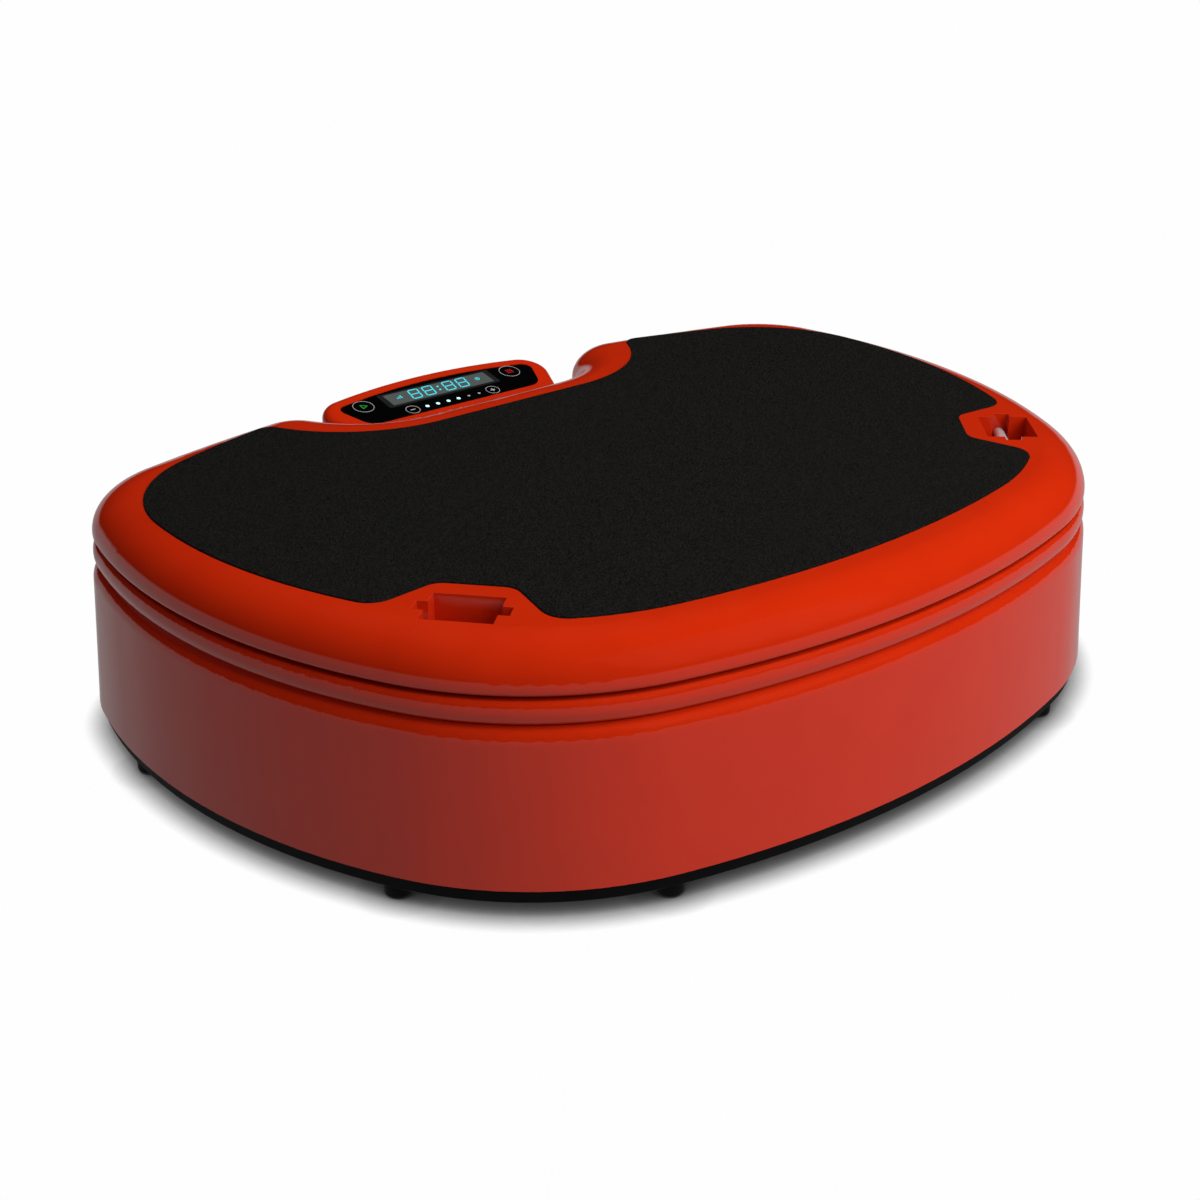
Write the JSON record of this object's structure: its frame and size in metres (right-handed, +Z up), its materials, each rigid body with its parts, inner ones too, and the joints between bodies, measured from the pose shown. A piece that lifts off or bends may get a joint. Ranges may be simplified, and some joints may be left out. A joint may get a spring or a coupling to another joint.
{
  "type": "vibration plate",
  "caption": "Low kidney-shaped whole-body vibration platform: matted deck on rubber isolators over a round-cornered base, strap wells, and a touch console in a bay at the back.",
  "frame": {"origin": "on the floor under the middle of the overall box, on the left-right symmetry plane of the covers", "axes": "+X to the user's right, +Y from the user towards the console, +Z up"},
  "size_m": [0.738, 0.557, 0.175],
  "materials": {
    "red_cover": "gloss lacquered moulding",
    "mat": "fine-grained matt foam",
    "black_plastic": "satin moulded",
    "rocker": "gloss",
    "rubber": "matt",
    "fastener_steel": "zinc plated",
    "painted_steel": "powder coated",
    "bright_steel": "ground",
    "weight_iron": "as cast",
    "cast_aluminium": "cast",
    "stator_winding": "lacquered copper and iron",
    "console_glass": "gloss black",
    "lcd": "gloss",
    "circuit_board": "solder mask",
    "cable_sheath": "satin"
  },
  "bodies": {
    "base": {"base_pan": "black_plastic", "base_skirt": "red_cover", "ridge_band": "red_cover", "rubber_feet": "rubber", "foot_screws": "fastener_steel", "skirt_screws": "fastener_steel", "base_rail_left": "painted_steel", "base_rail_right": "painted_steel", "isolator_pedestals": "painted_steel", "isolator_lower_plates": "fastener_steel", "isolator_lower_nuts": "fastener_steel", "isolator_rubbers": "rubber", "console_base": "black_plastic", "console_cover": "red_cover", "console_glass": "console_glass", "lcd_module": "lcd", "console_board": "circuit_board", "console_screws": "fastener_steel", "power_supply_board": "circuit_board", "motor_driver_board": "circuit_board", "board_standoffs": "fastener_steel", "inlet_panel": "black_plastic", "panel_screws": "fastener_steel", "mains_inlet": "black_plastic", "inlet_pins": "fastener_steel", "inlet_screws": "fastener_steel", "rocker_housing": "black_plastic", "mains_wire": "cable_sheath", "console_cable": "cable_sheath", "motor_lead_left": "cable_sheath", "motor_lead_right": "cable_sheath"},
    "deck": {"deck_cover": "red_cover", "standing_mat": "mat", "deck_plate": "painted_steel", "deck_screws": "fastener_steel", "deck_beam_front": "painted_steel", "deck_beam_rear": "painted_steel", "isolator_upper_plates": "fastener_steel", "isolator_upper_nuts": "fastener_steel", "motor_carrier": "painted_steel", "carrier_bolts": "fastener_steel", "motor_caps": "cast_aluminium", "motor_bearings": "bright_steel", "motor_clamps": "cast_aluminium", "motor_grommets": "rubber", "strap_brackets": "painted_steel", "bracket_bolts": "fastener_steel", "strap_rod_left": "bright_steel", "strap_rod_right": "bright_steel", "motor_housing_left": "cast_aluminium", "motor_housing_right": "cast_aluminium", "motor_stator_left": "stator_winding", "motor_stator_right": "stator_winding"},
    "rotor_left": {"rotor_left": "bright_steel", "eccentric_weights_left": "weight_iron"},
    "rotor_right": {"rotor_right": "bright_steel", "eccentric_weights_right": "weight_iron"},
    "power_rocker": {"power_rocker": "rocker"}
  },
  "joints": [
    {"name": "deck_shake", "type": "slide", "parent": "base", "child": "deck", "axis": [0, 0, 1], "range_m": [-0.0015, 0.0015], "stiffness_N_per_m": 600000, "springref_m": 0.00038, "deforming": ["isolator_rubbers"]},
    {"name": "rotor_right_spin", "type": "hinge", "parent": "deck", "child": "rotor_right", "pos_m": [0.062, 0.0275, 0.0855], "axis": [0, 1, 0], "continuous": true},
    {"name": "rotor_left_spin", "type": "hinge", "parent": "deck", "child": "rotor_left", "pos_m": [-0.062, 0.0275, 0.0855], "axis": [0, 1, 0], "continuous": true},
    {"name": "rocker_press", "type": "hinge", "parent": "base", "child": "power_rocker", "pos_m": [0.022, 0.254, 0.07], "axis": [1, 0, 0], "range_deg": [0, 20]}
  ],
  "couplings": [
    {"joint": "rotor_left_spin", "follows": "rotor_right_spin", "ratio": -1}
  ]
}
